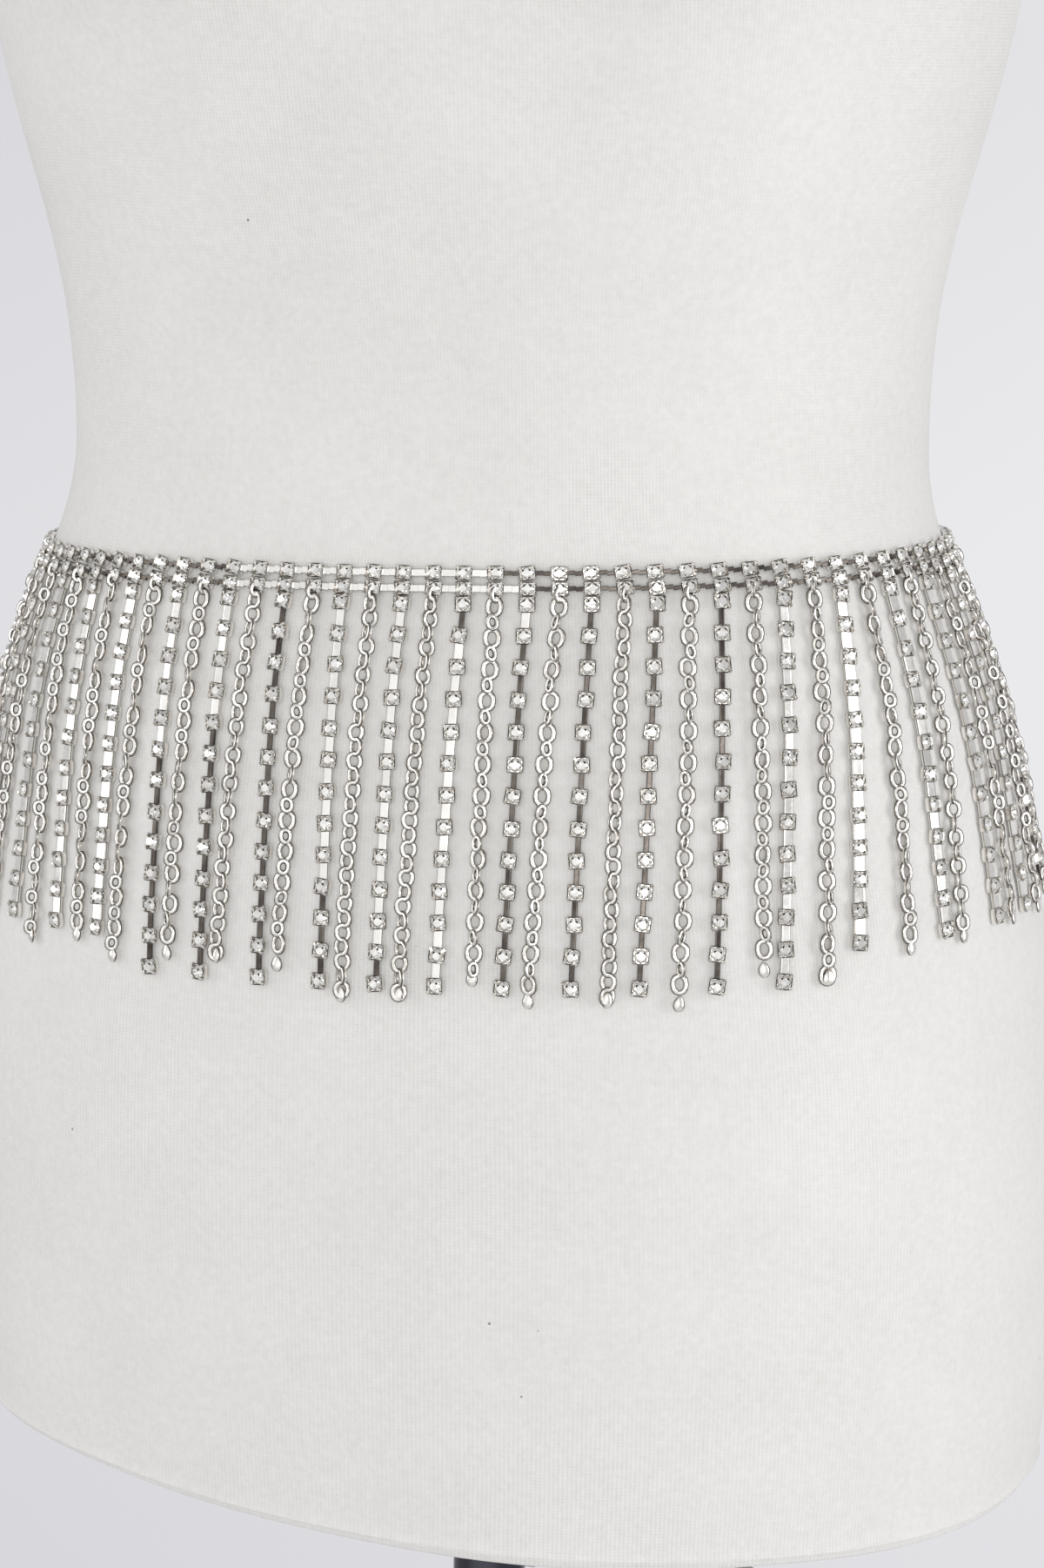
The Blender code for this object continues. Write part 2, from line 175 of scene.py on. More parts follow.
def makeJersey():
    made = Finish("jersey", Roughness=0.92, Sheen_Weight=0.25, Sheen_Roughness=0.5, Specular_IOR_Level=0.25)
    where = made.place()
    pattern = made.node("TexCoord", output=2)
    wrap, height = (made.node("SeparateXYZ", sockets={0: pattern}, output=number) for number in range(2))
    sway = made.noise(where, 60.0, 2.0)
    rib = made.wave(wrap * (2 * math.pi * jersey["wales"]) + sway * 3.0)
    loop = made.wave(height * (2 * math.pi / jersey["course"]) + rib * 0.8)
    patch = made.noise(where, 22.0, 4.0, 0.6)
    fine = made.noise(where, 420.0, 3.0, 0.7)
    ribsShow = made.spread(made.noise(where, 16.0, 3.0, 0.6), 0.35, 0.65, 0.25, 1.0)  # ribs show in patches
    # partly painted shade: the colour darkens toward the hollow colour along the ribs and loops; the fine and
    # patch noise is random tone
    knit = rib * ribsShow * 0.16 + loop * ribsShow * 0.06 + fine * 0.9 + patch * 0.5
    shade = made.spread(knit, 0.30, 1.10)
    color = made.blend(shade, jersey["hollow"], jersey["thread"])
    cells = made.node("TexVoronoi", {"feature": "F1"}, {
        "Vector": where, "Scale": jersey["speckCells"], "Randomness": 1.0})
    speck = made.spread(cells, 0.018, 0.030, 1.0, 0.0)
    chosen = made.spread(made.noise(where, 25.0, 0.0), 0.56, 0.58)  # only some cells have a dark speck
    made.feed(Base_Color=made.blend(speck * chosen * 0.8, color, jersey["speck"]),
              Normal=made.bump(rib * ribsShow * 0.35 + loop * ribsShow * 0.2 + fine * 1.0, 0.50, 0.00018))
    return made.material


def makePaint():
    made = Finish("capPaint", Roughness=0.55)
    where = made.place()
    patch = made.noise(where, 30.0, 4.0, 0.6)
    grain = made.noise(where, 700.0, 2.0)
    made.feed(Base_Color=made.blend(made.spread(patch, 0.3, 0.7), (0.70, 0.69, 0.66), (0.79, 0.78, 0.75)),
              Roughness=made.spread(grain, 0.3, 0.7, 0.48, 0.62),
              Normal=made.bump(grain, 0.2, 0.0001))
    return made.material


def makeMetal(name, light, dark, rough, patchScale, grainScale, dent, shade=None):
    made = Finish(name, Metallic=1.0)
    where = made.place()
    patch = made.noise(where, patchScale, 3.0, 0.6)
    grain = made.noise(where, grainScale, 2.0)
    color = made.blend(made.spread(patch, 0.35, 0.65), dark, light)
    if shade:  # painted shade and dark reflection on sides, wire shoulders and prong feet, marked by a per-corner attribute
        tone = made.node("Attribute", {"attribute_name": "tone"}, output=2)
        color = made.blend(made.spread(tone, 0.30, 0.75), color, shade)
    made.feed(Base_Color=color,
              Roughness=made.spread(patch * 0.6 + grain * 0.4, 0.35, 0.65, *rough),
              Normal=made.bump(grain, dent, 0.00008))
    return made.material


def makeStone():
    made = Finish("crystal", Metallic=0.85, Coat_Weight=0.6, Coat_Roughness=0.03)
    where = made.place()
    glint = made.noise(where, 520.0, 1.0)
    tint = made.blend(made.spread(glint, 0.38, 0.62), (0.86, 0.85, 0.825), (0.99, 0.985, 0.97))
    # painted dark reflection: facets marked by the per-corner attribute are darkened
    tone = made.node("Attribute", {"attribute_name": "tone"}, output=2)
    made.feed(Base_Color=made.blend(tone, tint, (0.10, 0.088, 0.076)),
              Roughness=made.spread(glint, 0.3, 0.7, 0.03, 0.10),
              Normal=made.bump(made.noise(where, 1400.0, 1.0), 0.35, 0.0002))
    return made.material


finishes = {
    "jersey": makeJersey(),
    "paint": makePaint(),
    # light and dark colour, roughness, scale of the patches and of the grain, dent of the grain, painted shade
    # colour
    "chrome": makeMetal("darkChrome", (0.090, 0.090, 0.108), (0.066, 0.066, 0.082), (0.08, 0.14),
                        9.0, 300.0, 0.04),
    "screw": makeMetal("brightChrome", (0.60, 0.60, 0.62), (0.50, 0.50, 0.52), (0.08, 0.16),
                       60.0, 300.0, 0.04),
    "plate": makeMetal("silverPlate", (0.99, 0.967, 0.928), (0.86, 0.83, 0.785), (0.12, 0.28),
                       260.0, 900.0, 0.12, (0.120, 0.104, 0.088)),
    "bar": makeMetal("brightBar", (0.97, 0.958, 0.93), (0.88, 0.862, 0.83), (0.20, 0.36),
                     120.0, 900.0, 0.15, (0.22, 0.20, 0.175)),
    # bars seen edge on: a darker copy of the bar metal, a painted dark reflection
    "edge": makeMetal("edgeOnBarPaintedDark", (0.17, 0.152, 0.137), (0.075, 0.065, 0.058), (0.16, 0.34),
                      120.0, 900.0, 0.15),
    "stone": makeStone(),
    "clasp": makeMetal("claspMetal", (0.86, 0.85, 0.84), (0.62, 0.61, 0.59), (0.12, 0.28),
                       200.0, 900.0, 0.15, (0.20, 0.18, 0.16)),
}
print("finishes made", len(finishes))


def addPiece(name, built, materials, nodes, sharp=35.0):
    if isinstance(built, bmesh.types.BMesh):
        mesh = bpy.data.meshes.new(name)
        bmesh.ops.recalc_face_normals(built, faces=built.faces)
        built.to_mesh(mesh)
        built.free()
        mesh.shade_smooth()
        mesh.set_sharp_from_angle(angle=math.radians(sharp))
    else:
        mesh = built
    for material in materials:
        mesh.materials.append(finishes[material])
    piece = bpy.data.objects.new(name, mesh)
    bpy.context.scene.collection.objects.link(piece)
    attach(piece, "root")
    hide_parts(*nodes)


def wrapGrid(sides, rows, pointOf):
    built = bmesh.new()
    built.loops.layers.uv.new("UVMap")
    bmesh.ops.create_grid(built, x_segments=sides, y_segments=rows, size=0.5, calc_uvs=True)
    for vert in built.verts:
        vert.co = pointOf(vert.co.x + 0.5, vert.co.y + 0.5)
    bmesh.ops.remove_doubles(built, verts=built.verts, dist=0.00001)
    return built


def closeEnds(built):
    rims = [edge for edge in built.edges if edge.is_boundary]
    bmesh.ops.holes_fill(built, edges=rims, sides=0)


def spun(profile, steps):
    built = bmesh.new()
    line = [built.verts.new((radius, 0.0, height)) for radius, height in profile]
    edges = [built.edges.new(pair) for pair in zip(line, line[1:])]
    bmesh.ops.spin(built, geom=line + edges, cent=(0, 0, 0), axis=(0, 0, 1), angle=2 * math.pi,
                   steps=steps, use_merge=True, use_duplicate=False)
    bmesh.ops.remove_doubles(built, verts=built.verts, dist=0.000005)
    bmesh.ops.recalc_face_normals(built, faces=built.faces)
    return built


form = {
    "waist": 1.030,
    "roundness": 2.2,
    "bust": {"x": 0.082, "rise": 0.174, "depth": 0.028, "wide": 0.044, "down": 0.034, "up": 0.058},
    "sections": (  # millimetres: rise over the waist, half width, front, back, middle
        (-288.0, 162.4, 116.8, 114.2, 12.0), (-262.0, 165.0, 118.5, 116.5, 11.5),
        (-232.0, 166.6, 119.5, 118.0, 10.5), (-202.0, 167.0, 119.5, 118.5, 9.0),
        (-172.0, 166.0, 118.5, 117.5, 7.0), (-146.0, 163.8, 116.5, 115.0, 5.0),
        (-122.0, 160.3, 113.5, 111.5, 3.0), (-102.0, 156.3, 110.0, 108.0, 1.5),
        (-84.0, 152.6, 106.5, 104.5, 0.0), (-66.0, 148.3, 102.5, 100.5, -1.5),
        (-50.0, 143.2, 98.5, 96.0, -2.5), (-36.0, 138.0, 94.3, 91.8, -3.2),
        (-24.0, 133.2, 90.5, 88.0, -4.0), (-12.0, 128.8, 87.5, 85.0, -5.0),
        (0.0, 126.3, 85.8, 83.2, -5.6), (14.0, 125.8, 85.6, 82.8, -6.2),
        (30.0, 126.4, 86.6, 83.4, -7.0), (48.0, 128.2, 88.8, 85.2, -8.0),
        (70.0, 132.6, 92.8, 88.6, -9.0), (92.0, 138.6, 97.6, 92.6, -9.6),
        (114.0, 144.4, 102.0, 96.5, -9.6), (138.0, 149.2, 105.8, 100.2, -8.8),
        (162.0, 152.6, 107.6, 103.2, -7.6), (190.0, 155.4, 107.8, 105.2, -6.0),
        (222.0, 158.4, 105.4, 104.8, -4.2), (254.0, 162.8, 99.4, 101.6, -2.4),
        (284.0, 167.8, 91.0, 97.0, -0.6), (312.0, 170.8, 81.4, 90.6, 0.8),
        (334.0, 168.0, 72.4, 83.4, 2.0), (352.0, 156.0, 64.6, 75.4, 2.8),
        (367.0, 133.0, 59.0, 68.0, 3.4), (380.0, 103.0, 55.6, 61.2, 4.0),
        (391.0, 78.0, 53.6, 56.8, 4.2), (404.0, 64.0, 52.2, 53.6, 4.4),
        (420.0, 59.0, 51.4, 51.4, 4.5), (436.0, 57.4, 51.0, 50.4, 4.5)),
    "sides": 144,
    "rowHeight": 4.0,
    "round": 0.9,  # metres round the hips, which the ribs are spread over
    "seam": 0.30,  # mm, how far the back seam is drawn in
    "seamWide": 1.6,
    "girth": 700.0,  # mm, about, for the width of the seam
}
hem = {  # its line dips at the front and back and rises at the sides, more on the right hand side
    "low": -291.3, "lift": 7.3, "slope": -0.0399, "dip": 0.0720,
    "fade": 60.0,  # the line's rise fades out over this height
    "ridge": 0.7, "ridgeRise": 2.4, "wall": 4.0, "inside": 24.0,
    # across, width and rise of the soft waves at the front
    "waves": ((36.0, 58.0, -1.7), (-96.0, 46.0, 1.9), (112.0, 22.0, 0.55)),
    "waveDepth": 0.06,  # metres behind the front, over which they fade
}


def smoothTable(rows):
    spots = np.array(rows) * mm
    heights, values = spots[:, 0], spots[:, 1:]
    gaps = np.diff(heights)[:, None]
    slopes = np.diff(values, axis=0) / gaps
    leans = np.zeros_like(values)
    leans[1:-1] = (slopes[:-1] * gaps[1:] + slopes[1:] * gaps[:-1]) / (gaps[:-1] + gaps[1:])
    leans[0], leans[-1] = slopes[0], slopes[-1]
    return heights, values, leans


sectionTable = smoothTable(form["sections"])


def sectionAt(rise):
    heights, values, leans = sectionTable
    rise = min(max(rise, heights[0]), heights[-1])
    row = min(max(int(np.searchsorted(heights, rise)) - 1, 0), len(heights) - 2)
    gap = heights[row + 1] - heights[row]
    t = (rise - heights[row]) / gap
    return (values[row] * (1 + 2 * t) * (1 - t) ** 2 + leans[row] * gap * t * (1 - t) ** 2
            + values[row + 1] * t * t * (3 - 2 * t) + leans[row + 1] * gap * t * t * (t - 1))


def formPoint(turn, rise, inset=0.0):
    halfWidth, front, back, middle = sectionAt(rise)
    across, along = math.cos(turn), math.sin(turn)
    depth = front if along < 0 else back
    power = form["roundness"]
    fit = (abs(across) ** power + abs(along) ** power) ** (-1 / power)
    x = (halfWidth - inset) * across * fit
    y = middle + (depth - inset) * along * fit
    if along < 0:
        bust = form["bust"]
        spread = bust["up"] if rise > bust["rise"] else bust["down"]
        tall = math.exp(-(((rise - bust["rise"]) / spread) ** 2))
        wide = sum(math.exp(-(((x - side * bust["x"]) / bust["wide"]) ** 2)) for side in (-1, 1))
        y -= bust["depth"] * tall * wide * min(1.0, -along * 2.0)
    return Vector((x, y, form["waist"] + rise))


def formAxes(turn, rise):
    small = 0.004
    around = (formPoint(turn + small, rise) - formPoint(turn - small, rise)) / (2 * small)
    upward = (formPoint(turn, rise + small) - formPoint(turn, rise - small)) / (2 * small)
    return around, upward, around.cross(upward).normalized()


def addCover():
    low, high = hem["low"], form["sections"][-1][0]
    ridge, wall = low + hem["ridgeRise"], -hem["wall"]
    rises = [(low + hem["inside"], wall), (low + 2.0, wall), (low + 0.5, wall + 0.4), (low, wall + 1.4),
             (low, -1.2), (low + 0.3, -0.4), (low + 0.9, 0.0), (ridge - 0.7, 0.15), (ridge, hem["ridge"]),
             (ridge + 0.7, 0.35), (ridge + 1.7, 0.0), (ridge + 4.0, 0.0)]  # rise, and how proud of the form
    rows = round((high - ridge - 6.0) / form["rowHeight"])
    rises += [(ridge + 6.0 + (high - 2.0 - ridge - 6.0) * row / rows, 0.0) for row in range(rows + 1)]
    rises += [(high - 1.0, 0.0), (high - 0.2, -0.7), (high, -8.0)]
    count = len(rises) - 1
    middle = form["sections"][0][4]

    def spot(share, height):
        rise, proud = rises[round(height * count)]
        turn = math.pi / 2 + 2 * math.pi * share
        fromBack = min(share, 1 - share) * form["girth"]
        drawn = form["seam"] * math.exp(-((fromBack / form["seamWide"]) ** 2))
        point = formPoint(turn, rise * mm, (drawn - proud) * mm)
        rim = formPoint(turn, low * mm)
        raised = hem["lift"] * mm + hem["slope"] * rim.x - hem["dip"] * abs(rim.y - middle * mm)
        for across, width, wave in hem["waves"]:
            near = math.exp(-(((rim.x / mm - across) / width) ** 2))
            raised += wave * mm * near * min(1.0, max(0.0, -rim.y / hem["waveDepth"]))
        point.z += raised * max(0.0, 1.0 - max(0.0, rise - low) / hem["fade"]) ** 2
        return point

    built = wrapGrid(form["sides"], count, spot)
    layer = built.loops.layers.uv.active
    for face in built.faces:
        for loop in face.loops:
            loop[layer].uv.y = loop.vert.co.z
    closeEnds(built)
    addPiece("formCover", built, ["jersey"], ["torso"], sharp=60)


def ringStack(sides, rise, levels, way):  # levels: height over the rise, and how far in from the form
    last = len(levels) - 1

    def spot(share, height):
        lift, inset = levels[round(height * last)]
        turn = math.pi / 2 + way * 2 * math.pi * share
        return formPoint(turn, rise * mm, inset * mm) + Vector((0, 0, lift * mm))

    return wrapGrid(sides, last, spot)


def addBoard():  # set up inside the shell, with a block down to the flange
    wall = hem["wall"]
    levels = [(18.0, wall + 20.0), (18.0, wall + 1.2), (17.6, wall + 0.8), (14.4, wall + 0.8),
              (14.0, wall + 1.2), (14.0, 74.0), (13.6, 74.4), (1.0, 75.0), (0.3, 75.6), (0.1, 76.4),
              (0.1, 90.0)]
    built = ringStack(form["sides"], hem["low"], levels, -1)
    layer = built.loops.layers.uv.active
    for face in built.faces:
        for loop in face.loops:
            loop[layer].uv = (loop.vert.co.x / form["round"], loop.vert.co.y)
    closeEnds(built)
    addPiece("bottomBoard", built, ["jersey"], ["bottom_board"])


def addNeckCap():
    levels = [(0.3, 1.2), (0.35, 0.3), (1.0, -0.2), (2.6, -0.2), (3.2, 0.5), (4.2, 0.6), (7.2, 0.6),
              (10.0, 1.9), (12.6, 5.0), (14.4, 9.6), (15.5, 16.0), (16.0, 26.0)]
    built = ringStack(96, form["sections"][-1][0], levels, 1)
    closeEnds(built)
    addPiece("neckCap", built, ["paint"], ["neck_cap"], sharp=50)


addCover()
addBoard()
addNeckCap()
print("dress form covered")


stand = {
    "baseRadius": 200.0, "baseEdge": 7.0, "baseHeight": 34.0, "bossRadius": 30.0, "socketDepth": 24.0,
    "poleRadius": 9.5, "tubeRadius": 10.9, "tubeLength": 62.0, "gap": 0.3,
    "flangeRadius": 45.0, "flangeThickness": 5.0, "flangeDrop": 3.6,
    "screwRise": -328.6, "screwRadius": 2.4, "screwLength": 69.5, "knobRadius": 4.6, "thread": 1.25,
}


def scaled(profile):
    return [(radius * mm, height * mm) for radius, height in profile]


def addStand():
    s = stand
    flangeTop = form["waist"] / mm + form["sections"][0][0] - s["flangeDrop"]
    flangeLow = flangeTop - s["flangeThickness"]
    r = s["flangeRadius"]
    flange = spun(scaled([(0, flangeTop), (r - 0.5, flangeTop), (r, flangeTop - 0.5), (r, flangeLow + 1.2),
                          (r - 1.2, flangeLow), (18.0, flangeLow), (0, flangeLow)]), 72)
    for number in range(4):  # pan heads that hold the flange
        angle = math.pi / 4 + number * math.pi / 2
        head = bmesh.ops.create_uvsphere(flange, u_segments=14, v_segments=8, radius=3.6 * mm)["verts"]
        bmesh.ops.scale(flange, vec=(1, 1, 0.5), verts=head)
        bmesh.ops.translate(flange, verts=head, vec=(
            math.cos(angle) * 34 * mm, math.sin(angle) * 34 * mm, flangeLow * mm))
    addPiece("flangePlate", flange, ["chrome"], ["flange"])

    bore, tubeTop = s["poleRadius"] + s["gap"], flangeLow - s["gap"]
    low, r = tubeTop - s["tubeLength"], s["tubeRadius"]
    tube = spun(scaled([(bore, tubeTop), (r, tubeTop), (r, low + 0.5), (r - 0.4, low), (bore + 0.2, low),
                        (bore, low + 0.2), (bore, tubeTop)]), 64)
    addPiece("socketTube", tube, ["chrome"], ["socket_tube"])

    foot, r = s["baseHeight"] - s["socketDepth"] + s["gap"], s["poleRadius"]
    pole = spun(scaled([(0, tubeTop), (r - 0.4, tubeTop), (r, tubeTop - 0.4), (r, foot + 0.4),
                        (r - 0.4, foot), (0, foot)]), 64)
    addPiece("standPole", pole, ["chrome"], ["pole"])

    top, boss, edge, r = s["baseHeight"], s["bossRadius"], s["baseEdge"], s["baseRadius"]
    base = spun(scaled([
        (0, top - s["socketDepth"]), (bore, top - s["socketDepth"]), (bore, top - 0.5), (bore + 0.5, top),
        (boss - 6.0, top), (boss - 3.6, top - 0.6), (boss - 1.4, top - 2.2), (boss - 0.2, top - 4.6),
        (boss, top - 7.0), (boss + 1.6, edge + 10.5), (boss + 4.0, edge + 7.0), (boss + 9.0, edge + 5.0),
        (boss + 20.0, edge + 4.0), (r - 4.0, edge), (r - 1.6, edge - 0.5), (r - 0.4, edge - 1.6),
        (r, edge - 3.0), (r, 0.5), (r - 0.5, 0), (0, 0)]), 120)
    addPiece("standBase", base, ["chrome"], ["base"], sharp=28)

    reach, r, knob = s["screwLength"], s["screwRadius"], s["knobRadius"]
    profile = [(0, 0), (r + 2.2, 0), (r + 2.2, 3.6), (r + 1.8, 4.0), (r, 4.0)]
    height = 5.0
    while height < reach - knob - 3.0:
        profile += [(r, height), (r - 0.35, height + s["thread"] / 2)]
        height += s["thread"]
    profile += [(r, reach - knob - 1.5), (r, reach - knob * 0.9)]
    profile += [(knob * math.cos(angle), reach + knob * math.sin(angle))
                for angle in (math.pi * (step - 3.6) / 10 for step in range(12))]
    profile.append((0, reach + knob))
    screw = spun(scaled(profile), 28)
    place = ((s["tubeRadius"] + s["gap"]) * mm, 0, form["waist"] + s["screwRise"] * mm)
    bmesh.ops.transform(screw, verts=screw.verts,
                        matrix=Matrix.Translation(place) @ Matrix.Rotation(math.pi / 2, 4, "Y"))
    addPiece("clampScrew", screw, ["screw"], ["clamp_screw"], sharp=50)


addStand()
print("stand made")


belt = {
    "rise": -23.45, "tilt": 1.97, "spacing": 4.2, "clearance": 0.5, "thickness": 2.6,
    "closureShift": -3.65, "strands": 80, "pitch": 8.7, "samples": 1440,
    "railCup": (1.06, 0.86, 0.95), "railLoose": {"twist": 6, "lie": 5, "nod": 5},
}


def beltRise(turn, offset):
    rise = belt["rise"] * mm + offset
    for _ in range(4):
        rise = belt["rise"] * mm + offset + math.tan(math.radians(belt["tilt"])) * formPoint(turn, rise).x
    return rise


def measureBelt():
    turns = [math.pi / 2 + 2 * math.pi * step / belt["samples"] for step in range(belt["samples"] + 1)]
    middle = belt["clearance"] + belt["thickness"] / 2
    points = []
    for turn in turns:
        rise = beltRise(turn, 0.0)
        points.append(formPoint(turn, rise) + formAxes(turn, rise)[2] * middle * mm)
    lengths = np.concatenate([[0.0], np.cumsum([(b - a).length for a, b in zip(points, points[1:])])])
    return np.array(turns), lengths


beltTurns, beltLengths = measureBelt()
beltTotal = float(beltLengths[-1])


def turnAt(length):
    return float(np.interp(length % beltTotal, beltLengths, beltTurns))


def strandStart(index):
    closure = beltTotal - belt["pitch"] * mm * belt["strands"]
    return closure / 2 + belt["closureShift"] * mm + belt["pitch"] * mm * (index + 0.5)


def railSpot(length, offset):  # point on the form, then the across, up and out directions
    turn = turnAt(length)
    rise = beltRise(turn, offset)
    upward, outward = formAxes(turn, rise)[1:]
    up = (upward - outward * upward.dot(outward)).normalized()
    return formPoint(turn, rise), up.cross(outward).normalized(), up, outward


def stepDown(turn, rise, lean, step):
    around, upward, outward = formAxes(turn, rise)
    down = (outward * outward.z - Vector((0, 0, 1))).normalized()
    side = around.normalized()
    side = (side - down * side.dot(down)).normalized()
    heading = down * math.cos(lean) + side * math.sin(lean)
    aa, bb, ab = around.dot(around), upward.dot(upward), around.dot(upward)
    ra, rb = heading.dot(around), heading.dot(upward)
    size = aa * bb - ab * ab
    return turn + step * (ra * bb - rb * ab) / size, rise + step * (rb * aa - ra * ab) / size


def strandPath(lean, reach, start, step=1.1 * mm):  # spots every step down from the lower rail
    turn = turnAt(start)
    rise = beltRise(turn, -belt["spacing"] / 2 * mm)
    path = []
    for _ in range(int(reach / step) + 3):
        outward = formAxes(turn, rise)[2]
        path.append((formPoint(turn, rise), outward))
        turn, rise = stepDown(turn, rise, lean, step)
    return path, step


def spotOn(path, step, distance):
    place = min(max(distance / step, 0.0), len(path) - 1.001)
    row = int(place)
    share = place - row
    (here, outA), (there, outB) = path[row], path[row + 1]
    outward = (outA * (1 - share) + outB * share).normalized()
    down = (there - here).normalized()
    down = (down - outward * down.dot(outward)).normalized()
    return here + (there - here) * share, (-down).cross(outward).normalized(), -down, outward


# lengths in millimetres, angles in degrees
def laidAt(spot, lift=0.0, across=0.0, along=0.0, twist=0.0, lie=0.0, nod=0.0, size=(1.0, 1.0, 1.0)):
    point, side, up, outward = spot
    basis = Matrix((side, up, outward)).transposed().to_4x4()
    turned = Euler((math.radians(nod), math.radians(twist), math.radians(lie)), "XYZ").to_matrix().to_4x4()
    shifted = point + (outward * lift + side * across + up * along) * mm
    stretched = Matrix.Diagonal((*(value * mm for value in size), 1.0))
    return Matrix.Translation(shifted) @ basis @ turned @ stretched


def shaken(chance, **limits):
    return {way: chance.uniform(-limit, limit) for way, limit in limits.items()}


def paintedEdgeShade(low, high, middle):  # painted shade: dark along the upper edge of a side, bright elsewhere
    return lambda face, vert: high if abs(face.normal.z) < 0.7 and vert.co.z > middle else low


def paintedShoulderShade(face, vert):  # painted shade: a wire is left bright along its crest and below, with a painted dark line down each shoulder
    return max(0.0, 1.0 - abs(vert.normal.z - 0.40) * 2.0)


def takeShape(built, toneOf, smooth=False, finish=0):
    bmesh.ops.recalc_face_normals(built, faces=built.faces)
    built.normal_update()
    built.verts.index_update()
    shape = {
        "points": np.array([vert.co[:] for vert in built.verts]),
        "faces": [tuple(vert.index for vert in face.verts) for face in built.faces],
        "finish": [finish] * len(built.faces),
        "smooth": [smooth] * len(built.faces),
        "tone": [toneOf(face, vert) for face in built.faces for vert in face.verts],
    }
    built.free()
    return shape


def joinShapes(*shapes):
    total = {"points": np.concatenate([shape["points"] for shape in shapes]), "faces": []}
    start = 0
    for shape in shapes:
        total["faces"] += [tuple(corner + start for corner in face) for face in shape["faces"]]
        start += len(shape["points"])
    for key in ("finish", "smooth", "tone"):
        total[key] = [value for shape in shapes for value in shape[key]]
    return total


cup = {
    "width": 4.8, "wall": 1.6, "corner": 1.1, "stone": 3.9, "table": 2.1, "crown": 0.95,
    "loose": {"across": 0.12, "twist": 9, "lie": 8, "nod": 6},
}


def makeCup():
    built = bmesh.new()
    body = bmesh.ops.create_cube(built, size=1.0)["verts"]
    bmesh.ops.scale(built, vec=(cup["width"] * 0.94, cup["width"] * 0.94, cup["wall"]), verts=body)
    bmesh.ops.translate(built, vec=(0, 0, cup["wall"] / 2), verts=body)
    posts = [edge for edge in built.edges if abs(edge.verts[0].co.z - edge.verts[1].co.z) > 1.0]
    bmesh.ops.bevel(built, geom=posts, offset=cup["corner"], offset_type="OFFSET", segments=2, profile=0.5,
                    affect="EDGES", material=-1, clamp_overlap=True)
    top = max(built.faces, key=lambda face: face.calc_center_median().z)
    bmesh.ops.inset_region(built, faces=[top], thickness=0.32, depth=-0.35, use_even_offset=True)
    metal = takeShape(built, paintedEdgeShade(0.0, 0.66, cup["wall"] * 0.5))

    prongs = []
    reach = cup["width"] / 2 - 0.62
    bent = Matrix.Translation((reach * 1.18, 0, cup["wall"] + 0.35)) @ Matrix.Rotation(
        math.radians(-34), 4, "Y") @ Matrix.Rotation(math.pi / 4, 4, "Z")
    for number in range(4):
        built = bmesh.new()
        post = bmesh.ops.create_cone(built, cap_ends=True, segments=4, radius1=0.72, radius2=0.34, depth=1.5)
        turn = Matrix.Rotation(math.pi / 4 + number * math.pi / 2, 4, "Z")
        bmesh.ops.transform(built, verts=post["verts"], matrix=turn @ bent)
        # painted shade at the foot of each prong, where it meets the cup
        prongs.append(takeShape(built, lambda face, vert: 0.6 if vert.co.z < cup["wall"] + 0.2 else 0.0))

    built = bmesh.new()
    stone = bmesh.ops.create_cone(built, cap_ends=True, segments=8, radius1=cup["stone"] / 2,
                                  radius2=cup["table"] / 2, depth=cup["crown"])["verts"]
    bmesh.ops.translate(built, vec=(0, 0, cup["wall"] + cup["crown"] / 2 - 0.1), verts=stone)
    upper = [vert for vert in stone if vert.co.z > cup["wall"] + 0.3]
    bmesh.ops.rotate(built, cent=(0, 0, 0), matrix=Matrix.Rotation(math.pi / 8, 3, "Z"), verts=upper)
    sides = [face for face in built.faces if len(face.verts) == 4]
    bmesh.ops.triangulate(built, faces=sides)
    bottom = [face for face in built.faces if face.normal.z < -0.9]
    bmesh.ops.delete(built, geom=bottom, context="FACES_ONLY")
    chance, tones = random.Random(3), {}

    def paintedFacetDark(face, vert):  # painted dark reflection: some facets are painted dark, and the table is left bright
        return tones.setdefault(
            face.index, 0.05 if face.normal.z > 0.9 else chance.choice((0.0, 0.0, 0.0, 0.10, 0.85, 1.0)))

    return joinShapes(metal, *prongs, takeShape(built, paintedFacetDark, finish=1))


def makeBar(finish):  # one millimetre each way, stretched where it is laid
    built = bmesh.new()
    body = bmesh.ops.create_cube(built, size=1.0)["verts"]
    edges = [edge for edge in built.edges if abs(edge.verts[0].co.y - edge.verts[1].co.y) > 0.5]
    bmesh.ops.bevel(built, geom=edges, offset=0.16, offset_type="OFFSET", segments=2, profile=0.5,
                    affect="EDGES", material=-1, clamp_overlap=True)
    return takeShape(built, paintedEdgeShade(0.0, 0.85, 0.0), finish=finish)


def makeLink(width, length, wire, steps, sides):
    built = bmesh.new()
    ring = bmesh.ops.create_circle(built, segments=sides, radius=wire / 2)["verts"]
    bmesh.ops.rotate(built, cent=(0, 0, 0), matrix=Matrix.Rotation(math.pi / 2, 3, "X"), verts=ring)
    bmesh.ops.translate(built, vec=(width / 2 - wire / 2, 0, 0), verts=ring)
    bmesh.ops.spin(built, geom=ring + list(built.edges), cent=(0, 0, 0), axis=(0, 0, 1), angle=2 * math.pi,
                   steps=steps, use_merge=True, use_duplicate=False)
    bmesh.ops.remove_doubles(built, verts=built.verts, dist=0.001)
    grow = (length - width) / 2
    for vert in built.verts:
        vert.co.y += grow * max(-1.0, min(1.0, vert.co.y / (width * 0.22)))
    return takeShape(built, paintedShoulderShade, smooth=True)


